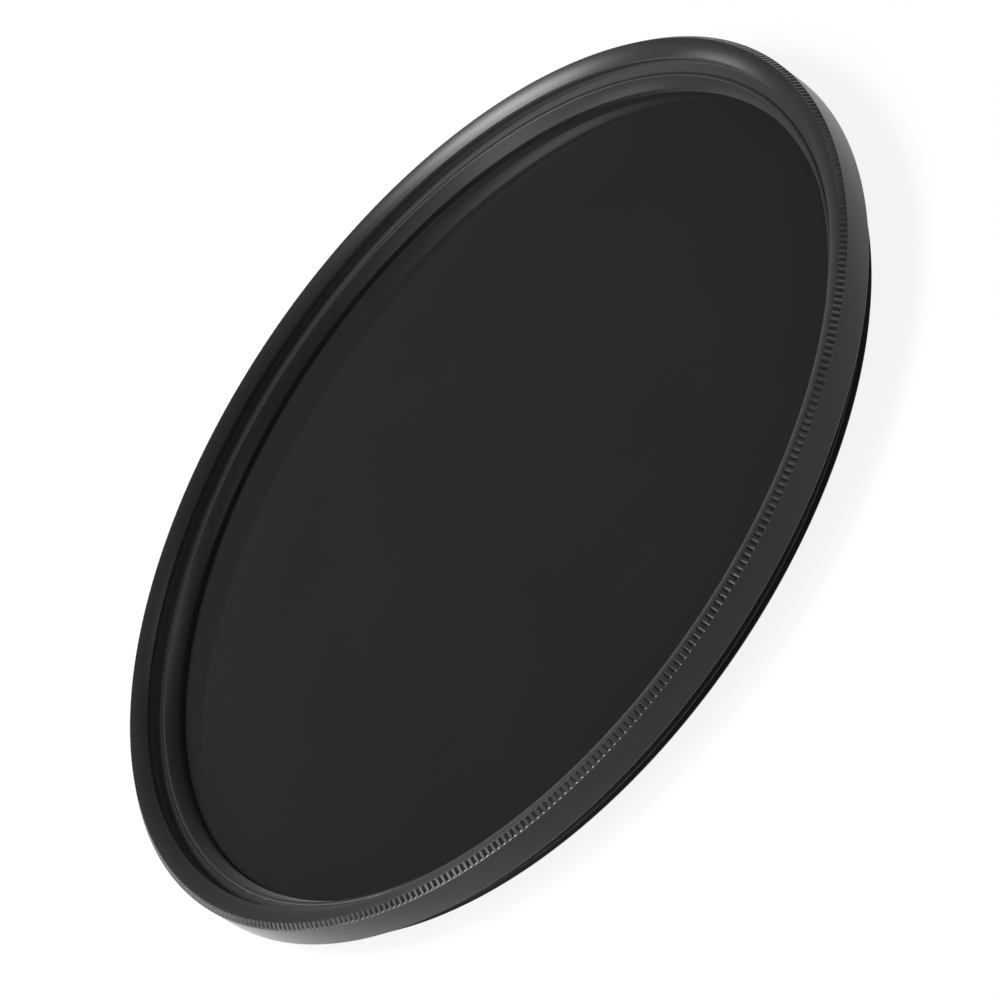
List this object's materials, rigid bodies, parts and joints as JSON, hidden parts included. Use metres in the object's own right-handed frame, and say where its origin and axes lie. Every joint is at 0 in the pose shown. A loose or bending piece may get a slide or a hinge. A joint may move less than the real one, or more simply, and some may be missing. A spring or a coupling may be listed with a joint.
{
  "type": "infrared lens filter",
  "caption": "Round screw-in infrared-pass filter: slim black ring with a toothed front edge round a near-black glass disc.",
  "frame": {"origin": "middle of the rear end of the ring, on the optical axis, where the filter lies on its rear thread", "axes": "+Z along the optical axis from the lens side to the front; X and Y are free, because the part is round"},
  "size_m": [0.08, 0.08, 0.0051],
  "materials": {
    "frame_ring": "satin black anodised",
    "filter_glass": "polished, opaque to visible light",
    "retaining_ring": "satin black anodised"
  },
  "bodies": {
    "root": {"frame_ring": "frame_ring", "filter_glass": "filter_glass", "retaining_ring": "retaining_ring"}
  },
  "joints": []
}
